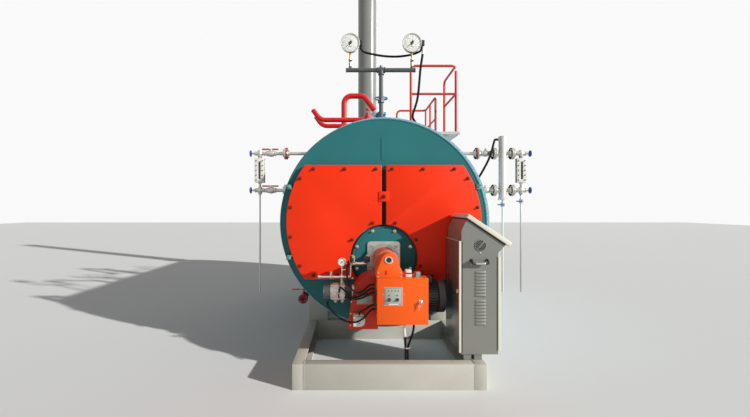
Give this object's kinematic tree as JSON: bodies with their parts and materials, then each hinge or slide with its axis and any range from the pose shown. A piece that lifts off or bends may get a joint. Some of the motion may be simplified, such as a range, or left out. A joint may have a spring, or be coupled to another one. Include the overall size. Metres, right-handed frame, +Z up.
{
  "type": "horizontal fire-tube steam boiler",
  "caption": "Horizontal fire-tube steam boiler on a steel skid, with an oil burner, control cabinet, level and pressure gauges, steam and safety valves, a railed platform and a chimney.",
  "frame": {"origin": "centre of the skid's underside, on the ground, under the middle cross beam", "axes": "+X to the right seen from the burner end, +Y from the burner towards the chimney, +Z up"},
  "size_m": [2.824, 4.944, 6],
  "materials": {
    "skid_grey": "satin",
    "teal_paint": "satin",
    "cover_red": "satin",
    "burner_orange": "gloss",
    "rail_red": "gloss",
    "jacket_sheet": "embossed",
    "cream_paint": "gloss",
    "cabinet_grey": "satin",
    "pipe_grey": "satin",
    "valve_blue": "gloss",
    "motor_black": "satin",
    "cable_black": "matt",
    "plain_steel": "satin",
    "cast_alloy": "cast"
  },
  "bodies": {
    "boiler": {"skid_beam_left": "skid_grey", "skid_beam_right": "skid_grey", "skid_front_beam": "skid_grey", "skid_second_beam": "skid_grey", "skid_middle_beam": "skid_grey", "skid_fourth_beam": "skid_grey", "skid_rear_beam": "skid_grey", "saddle_front_left": "skid_grey", "saddle_front_right": "skid_grey", "saddle_rear_left": "skid_grey", "saddle_rear_right": "skid_grey", "shell_jacket": "jacket_sheet", "front_plate": "teal_paint", "rear_smoke_box": "teal_paint", "rear_cover": "teal_paint", "stack": "pipe_grey", "cover_left": "cover_red", "cover_right": "cover_red", "cover_bolts": "cover_red", "throat_disc": "teal_paint", "burner_flange": "cast_alloy", "burner_head": "burner_orange", "fan_housing": "cover_red", "burner_motor": "motor_black", "control_box": "burner_orange", "fuel_pump": "cast_alloy", "fuel_pipes": "plain_steel", "burner_fittings": "plain_steel", "burner_cables": "cable_black", "gauge_stand": "pipe_grey", "pressure_gauges": "plain_steel", "gauge_cables": "cable_black", "level_pipes_left": "plain_steel", "level_glass_left": "plain_steel", "level_pipes_right": "plain_steel", "level_column": "cream_paint", "level_glass_right": "plain_steel", "safety_valves": "rail_red", "steam_valve": "valve_blue", "steam_pipe": "rail_red", "blowdown_valve": "rail_red", "platform": "cream_paint", "guard_rail_front": "rail_red", "guard_rail_rear": "rail_red", "cabinet_body": "cabinet_grey", "cabinet_roof": "cream_paint", "cabinet_panel": "cream_paint"},
    "control_box_door": {"control_box_door": "burner_orange"},
    "cabinet_door": {"cabinet_door": "cream_paint"},
    "wheel_left_top": {"cock_wheel_left_top": "valve_blue"},
    "wheel_left_low": {"cock_wheel_left_low": "valve_blue"},
    "wheel_right_top": {"cock_wheel_right_top": "valve_blue"},
    "wheel_right_low": {"cock_wheel_right_low": "valve_blue"},
    "column_lever": {"column_drain_lever": "valve_blue"},
    "glass_lever": {"glass_drain_lever": "valve_blue"},
    "steam_wheel": {"steam_valve_wheel": "valve_blue"},
    "blowdown_lever": {"blowdown_lever": "rail_red"}
  },
  "joints": [
    {"name": "control_box_hinge", "type": "hinge", "parent": "boiler", "child": "control_box_door", "pos_m": [-0.101, -2.2385, 0.6865], "axis": [0, 0, -1], "range_deg": [0, 110]},
    {"name": "cabinet_hinge", "type": "hinge", "parent": "boiler", "child": "cabinet_door", "pos_m": [0.867, -1.723, 0.646], "axis": [0, 0, 1], "range_deg": [0, 110]},
    {"name": "cock_left_top", "type": "hinge", "parent": "boiler", "child": "wheel_left_top", "pos_m": [-1.304, -1.345, 1.945], "axis": [-1, 0, 0], "range_deg": [0, 720]},
    {"name": "cock_left_low", "type": "hinge", "parent": "boiler", "child": "wheel_left_low", "pos_m": [-1.304, -1.345, 1.577], "axis": [-1, 0, 0], "range_deg": [0, 720]},
    {"name": "cock_right_top", "type": "hinge", "parent": "boiler", "child": "wheel_right_top", "pos_m": [1.492, -1.345, 1.945], "axis": [1, 0, 0], "range_deg": [0, 720]},
    {"name": "cock_right_low", "type": "hinge", "parent": "boiler", "child": "wheel_right_low", "pos_m": [1.492, -1.345, 1.577], "axis": [1, 0, 0], "range_deg": [0, 720]},
    {"name": "column_drain", "type": "hinge", "parent": "boiler", "child": "column_lever", "pos_m": [1.216, -1.375, 1.433], "axis": [0, -1, 0], "range_deg": [0, 90]},
    {"name": "glass_drain", "type": "hinge", "parent": "boiler", "child": "glass_lever", "pos_m": [1.4, -1.375, 1.467], "axis": [0, -1, 0], "range_deg": [0, 90]},
    {"name": "steam_valve_stem", "type": "hinge", "parent": "boiler", "child": "steam_wheel", "pos_m": [0.115, 0.24, 2.942], "axis": [0, 0, 1], "range_deg": [0, 720]},
    {"name": "blowdown_stem", "type": "hinge", "parent": "boiler", "child": "blowdown_lever", "pos_m": [-0.857, -0.66, 0.441], "axis": [0, 0, 1], "range_deg": [0, 90]}
  ]
}
